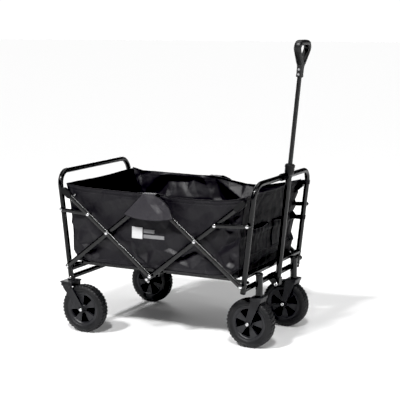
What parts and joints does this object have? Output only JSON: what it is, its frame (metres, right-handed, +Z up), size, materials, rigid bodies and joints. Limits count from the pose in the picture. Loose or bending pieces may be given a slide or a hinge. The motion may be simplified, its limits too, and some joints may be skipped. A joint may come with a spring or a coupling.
{
  "type": "folding camp wagon",
  "caption": "Black folding camp wagon: tube end arches, side scissors, fabric tub with flaps, fixed rear wheels, swivel front casters and a telescoping pull handle.",
  "frame": {"origin": "ground plane below the middle of the bounding box", "axes": "+X towards the pull handle (front), +Z up, +Y towards the far side; left and right sides are mirror images"},
  "size_m": [0.8786, 0.573, 1.0711],
  "materials": {
    "tyre": "matte black rubber with a knobbly tread",
    "wheel_plastic": "dark grey moulded plastic",
    "fork_plastic": "dark grey moulded plastic",
    "frame_paint": "satin black powder coat",
    "bar_paint": "satin black powder coat",
    "handle_paint": "satin black powder coat",
    "black_plastic": "fine grained black plastic",
    "grip_plastic": "soft touch black plastic",
    "rivet_steel": "bright nickel plated rivets",
    "bolt_steel": "zinc plated bolts and caps",
    "tub_fabric": "woven black polyester with a slight sheen",
    "floor_fabric": "boards wrapped in woven black polyester",
    "label": "blank light sewn patch"
  },
  "bodies": {
    "rear_frame": {"rear_arch": "frame_paint", "rear_cross_tubes": "frame_paint", "rear_forks": "fork_plastic", "rear_axles": "bolt_steel", "rear_rivets": "rivet_steel", "rear_rail_brackets": "frame_paint", "rear_panel": "tub_fabric", "side_panel_near": "tub_fabric", "side_panel_far": "tub_fabric", "flaps": "tub_fabric", "floor_skin": "floor_fabric", "labels": "label"},
    "wheel_rear_near": {"tyre_rear_near": "tyre", "rim_rear_near": "wheel_plastic"},
    "wheel_rear_far": {"tyre_rear_far": "tyre", "rim_rear_far": "wheel_plastic"},
    "scissor_b": {"bars_b": "bar_paint", "rivets_b": "rivet_steel"},
    "scissor_a": {"bars_a": "bar_paint", "caps_a": "black_plastic", "centre_tube": "bar_paint", "centre_bridges": "bar_paint", "rivets_a": "rivet_steel"},
    "scissor_c": {"bars_c": "bar_paint", "rivets_c": "rivet_steel"},
    "scissor_d": {"bars_d": "bar_paint", "caps_d": "black_plastic", "rivets_d": "rivet_steel"},
    "links_rear": {"rear_links": "bar_paint"},
    "links_front": {"front_links": "bar_paint", "front_link_rivets": "rivet_steel"},
    "front_frame": {"front_arch": "frame_paint", "front_cross_tubes": "frame_paint", "stem_sockets": "frame_paint", "socket_caps": "black_plastic", "handle_bracket": "frame_paint", "bracket_pin": "rivet_steel", "front_rivets": "rivet_steel", "front_spacers": "bar_paint", "front_rail_brackets": "frame_paint", "handle_clip": "black_plastic", "front_panel": "tub_fabric"},
    "caster_near": {"caster_fork_near": "fork_plastic", "caster_axle_near": "bolt_steel"},
    "wheel_front_near": {"tyre_front_near": "tyre", "rim_front_near": "wheel_plastic"},
    "caster_far": {"caster_fork_far": "fork_plastic", "caster_axle_far": "bolt_steel"},
    "wheel_front_far": {"tyre_front_far": "tyre", "rim_front_far": "wheel_plastic"},
    "handle": {"handle_tube": "handle_paint", "handle_foot": "black_plastic", "handle_collar": "black_plastic"},
    "handle_inner": {"inner_tube": "handle_paint", "grip": "grip_plastic", "grip_screws": "bolt_steel"},
    "floor_rear": {"floor_boards_rear": "floor_fabric", "floor_rails_rear": "bar_paint"},
    "floor_front": {"floor_boards_front": "floor_fabric", "floor_rails_front": "bar_paint"}
  },
  "joints": [
    {"name": "fold", "type": "hinge", "parent": "rear_frame", "child": "scissor_b", "pos_m": [-0.39091, 0, 0.241], "axis": [0, -1, 0], "range_deg": [0, 41], "deforming": ["side_panel_near", "side_panel_far", "flaps", "floor_skin", "labels"]},
    {"name": "scissor_a_pivot", "type": "hinge", "parent": "scissor_b", "child": "scissor_a", "pos_m": [-0.21391, 0, 0.382], "axis": [0, -1, 0], "range_deg": [-82, 0]},
    {"name": "scissor_c_pivot", "type": "hinge", "parent": "scissor_b", "child": "scissor_c", "pos_m": [-0.03691, 0, 0.523], "axis": [0, -1, 0], "range_deg": [-82, 0]},
    {"name": "scissor_d_pivot", "type": "hinge", "parent": "scissor_c", "child": "scissor_d", "pos_m": [0.14009, 0, 0.382], "axis": [0, -1, 0], "range_deg": [0, 82]},
    {"name": "front_frame_pivot", "type": "hinge", "parent": "scissor_c", "child": "front_frame", "pos_m": [0.31709, 0, 0.241], "axis": [0, -1, 0], "range_deg": [0, 41]},
    {"name": "rear_link_pivot", "type": "hinge", "parent": "rear_frame", "child": "links_rear", "pos_m": [-0.41446, 0, 0.451], "axis": [0, -1, 0], "range_deg": [0, 70.39]},
    {"name": "front_link_pivot", "type": "hinge", "parent": "front_frame", "child": "links_front", "pos_m": [0.34065, 0, 0.451], "axis": [0, -1, 0], "range_deg": [-70.39, 0]},
    {"name": "floor_rear_hinge", "type": "hinge", "parent": "rear_frame", "child": "floor_rear", "pos_m": [-0.34891, 0, 0.253], "axis": [0, -1, 0], "range_deg": [0, 93.01]},
    {"name": "floor_front_hinge", "type": "hinge", "parent": "front_frame", "child": "floor_front", "pos_m": [0.27509, 0, 0.253], "axis": [0, -1, 0], "range_deg": [-93.01, 0]},
    {"name": "handle_tilt", "type": "hinge", "parent": "front_frame", "child": "handle", "pos_m": [0.33859, 0, 0.2], "axis": [0, 1, 0], "range_deg": [0, 90]},
    {"name": "handle_slide", "type": "slide", "parent": "handle", "child": "handle_inner", "axis": [0.0993, 0, 0.9951], "range_m": [-0.3, 0]},
    {"name": "caster_near_swivel", "type": "hinge", "parent": "front_frame", "child": "caster_near", "pos_m": [0.33689, -0.158, 0.2], "axis": [0, 0, 1], "continuous": true},
    {"name": "caster_far_swivel", "type": "hinge", "parent": "front_frame", "child": "caster_far", "pos_m": [0.33689, 0.158, 0.2], "axis": [0, 0, 1], "continuous": true},
    {"name": "wheel_rear_near_spin", "type": "hinge", "parent": "rear_frame", "child": "wheel_rear_near", "pos_m": [-0.32191, -0.251, 0.089], "axis": [0, 1, 0], "continuous": true},
    {"name": "wheel_rear_far_spin", "type": "hinge", "parent": "rear_frame", "child": "wheel_rear_far", "pos_m": [-0.32191, 0.251, 0.089], "axis": [0, 1, 0], "continuous": true},
    {"name": "wheel_front_near_spin", "type": "hinge", "parent": "caster_near", "child": "wheel_front_near", "pos_m": [0.30589, -0.158, 0.089], "axis": [0, 1, 0], "continuous": true},
    {"name": "wheel_front_far_spin", "type": "hinge", "parent": "caster_far", "child": "wheel_front_far", "pos_m": [0.30589, 0.158, 0.089], "axis": [0, 1, 0], "continuous": true}
  ],
  "couplings": [
    {"joint": "scissor_a_pivot", "follows": "fold", "ratio": -2},
    {"joint": "scissor_c_pivot", "follows": "fold", "ratio": -2},
    {"joint": "scissor_d_pivot", "follows": "fold", "ratio": 2},
    {"joint": "front_frame_pivot", "follows": "fold", "ratio": 1},
    {"joint": "rear_link_pivot", "follows": "fold", "ratio": 1.7168},
    {"joint": "front_link_pivot", "follows": "fold", "ratio": -1.7168},
    {"joint": "floor_rear_hinge", "follows": "fold", "ratio": 2.2683},
    {"joint": "floor_front_hinge", "follows": "fold", "ratio": -2.2683}
  ]
}
